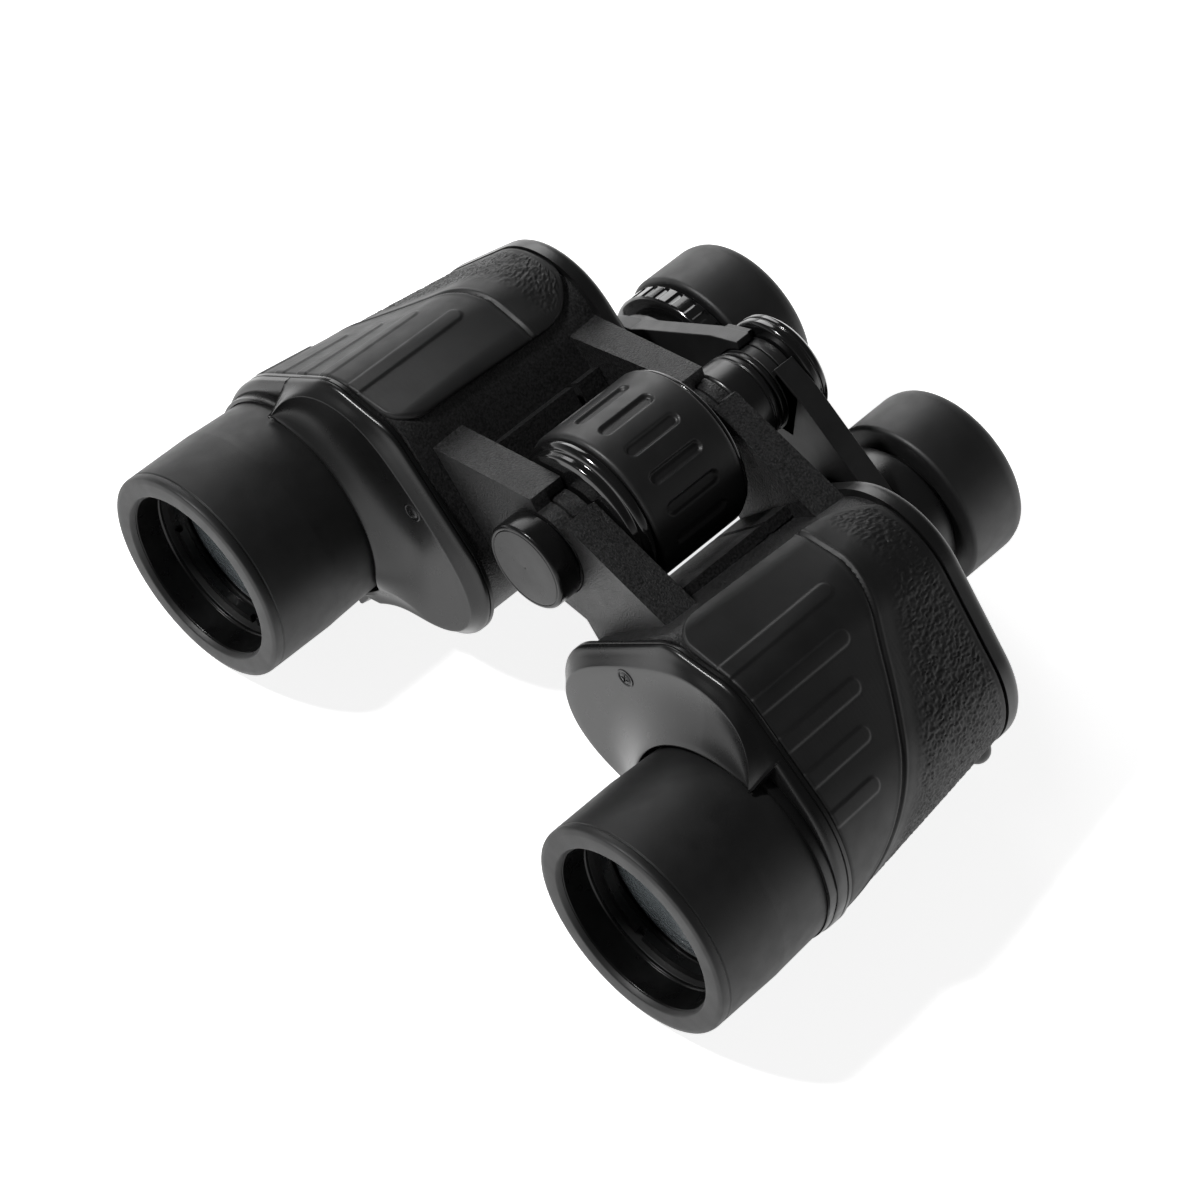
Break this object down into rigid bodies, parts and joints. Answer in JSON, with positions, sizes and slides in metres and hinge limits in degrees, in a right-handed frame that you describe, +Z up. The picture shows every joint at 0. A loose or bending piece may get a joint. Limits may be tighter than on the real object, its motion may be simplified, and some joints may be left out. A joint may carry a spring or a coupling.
{
  "type": "binoculars",
  "caption": "Porro-prism binoculars, with offset objective barrels on a folding hinge, a slotted central focus wheel, a sliding eyepiece bridge and rubber-armoured prism housings.",
  "frame": {"origin": "centre of the bounding box on the plane that the barrels rest on", "axes": "+X to the half with no dioptre ring, +Y from the objectives towards the eyecups along the hinge axis, +Z up"},
  "size_m": [0.1856, 0.141, 0.0753],
  "materials": {
    "housing_coat": "fine-grained black powder coat",
    "front_cover_satin": "satin black",
    "rear_cover_satin": "satin black",
    "armour_rubber": "matte rubber, smooth ribbed panel and pebbled panel",
    "screw_steel": "blackened steel",
    "barrel_matte": "fine matte black",
    "inner_black": "black anodised",
    "coated_glass": "coated optical glass",
    "prism_glass": "polished prism glass",
    "plate_aluminium": "dark anodised",
    "spring_steel": "spring steel",
    "bridge_satin": "satin black",
    "tube_coat": "fine-grained black coat",
    "wheel_gloss": "gloss black",
    "eyecup_rubber": "matte rubber",
    "grip_rubber": "matte moulded rubber",
    "shaft_steel": "ground steel",
    "washer_brass": "plain brass",
    "cap_gloss": "gloss edge and satin face"
  },
  "bodies": {
    "left_half": {"left_housing": "housing_coat", "left_front_cover": "front_cover_satin", "left_rear_cover": "rear_cover_satin", "left_armour": "armour_rubber", "left_cover_screws": "screw_steel", "left_objective_barrel": "barrel_matte", "left_retaining_ring": "inner_black", "left_objective_lens": "coated_glass", "left_prism_plate": "plate_aluminium", "left_front_prism": "prism_glass", "left_rear_prism": "prism_glass", "left_prism_clips": "spring_steel", "hinge_shaft": "shaft_steel", "hinge_washers": "washer_brass", "focus_guide_tube": "bridge_satin"},
    "right_half": {"right_housing": "housing_coat", "right_front_cover": "front_cover_satin", "right_rear_cover": "rear_cover_satin", "right_armour": "armour_rubber", "right_cover_screws": "screw_steel", "right_objective_barrel": "barrel_matte", "right_retaining_ring": "inner_black", "right_objective_lens": "coated_glass", "right_prism_plate": "plate_aluminium", "right_front_prism": "prism_glass", "right_rear_prism": "prism_glass", "right_prism_clips": "spring_steel"},
    "focus_wheel": {"focus_wheel": "wheel_gloss", "focus_wheel_grip": "grip_rubber"},
    "focus_carriage": {"focus_rod": "shaft_steel", "focus_drive_pin": "shaft_steel", "bridge_hub": "bridge_satin", "bridge_hub_cap": "bridge_satin"},
    "left_eyepiece": {"left_bridge_arm": "bridge_satin", "left_eyepiece_tube": "tube_coat", "left_field_lens": "coated_glass", "left_eye_lens": "coated_glass", "left_eyecup": "eyecup_rubber"},
    "right_eyepiece": {"right_bridge_arm": "bridge_satin", "right_eyepiece_tube": "tube_coat"},
    "right_ocular": {"right_ocular_sleeve": "tube_coat", "right_field_lens": "coated_glass", "right_eye_lens": "coated_glass", "right_eyecup": "eyecup_rubber"},
    "dioptre_ring": {"dioptre_ring": "wheel_gloss"},
    "hinge_cap": {"hinge_cap": "cap_gloss"}
  },
  "joints": [
    {"name": "fold", "type": "hinge", "parent": "left_half", "child": "right_half", "pos_m": [0, 0, 0.0556], "axis": [0, 1, 0], "range_deg": [-16, 25]},
    {"name": "focus_turn", "type": "hinge", "parent": "left_half", "child": "focus_wheel", "pos_m": [0, 0, 0.0556], "axis": [0, 1, 0], "range_deg": [0, 481]},
    {"name": "carriage_travel", "type": "slide", "parent": "left_half", "child": "focus_carriage", "axis": [0, 1, 0], "range_m": [0, 0.008]},
    {"name": "left_eyepiece_travel", "type": "slide", "parent": "left_half", "child": "left_eyepiece", "axis": [0, 1, 0], "range_m": [0, 0.0081]},
    {"name": "right_eyepiece_travel", "type": "slide", "parent": "right_half", "child": "right_eyepiece", "axis": [0, 1, 0], "range_m": [0, 0.0081]},
    {"name": "dioptre_travel", "type": "slide", "parent": "right_eyepiece", "child": "right_ocular", "axis": [0, 1, 0], "range_m": [-0.002, 0.002]},
    {"name": "dioptre_turn", "type": "hinge", "parent": "right_ocular", "child": "dioptre_ring", "pos_m": [-0.0317, 0.0495, 0.0281], "axis": [0, 1, 0], "range_deg": [-60, 60]},
    {"name": "cap_unscrew", "type": "slide", "parent": "left_half", "child": "hinge_cap", "axis": [0, -1, 0], "range_m": [0, 0.012]}
  ],
  "couplings": [
    {"joint": "focus_turn", "follows": "carriage_travel", "rad_per_m": 1047.1},
    {"joint": "left_eyepiece_travel", "follows": "carriage_travel", "ratio": 1},
    {"joint": "right_eyepiece_travel", "follows": "carriage_travel", "ratio": 1},
    {"joint": "dioptre_turn", "follows": "dioptre_travel", "rad_per_m": 523.56}
  ]
}
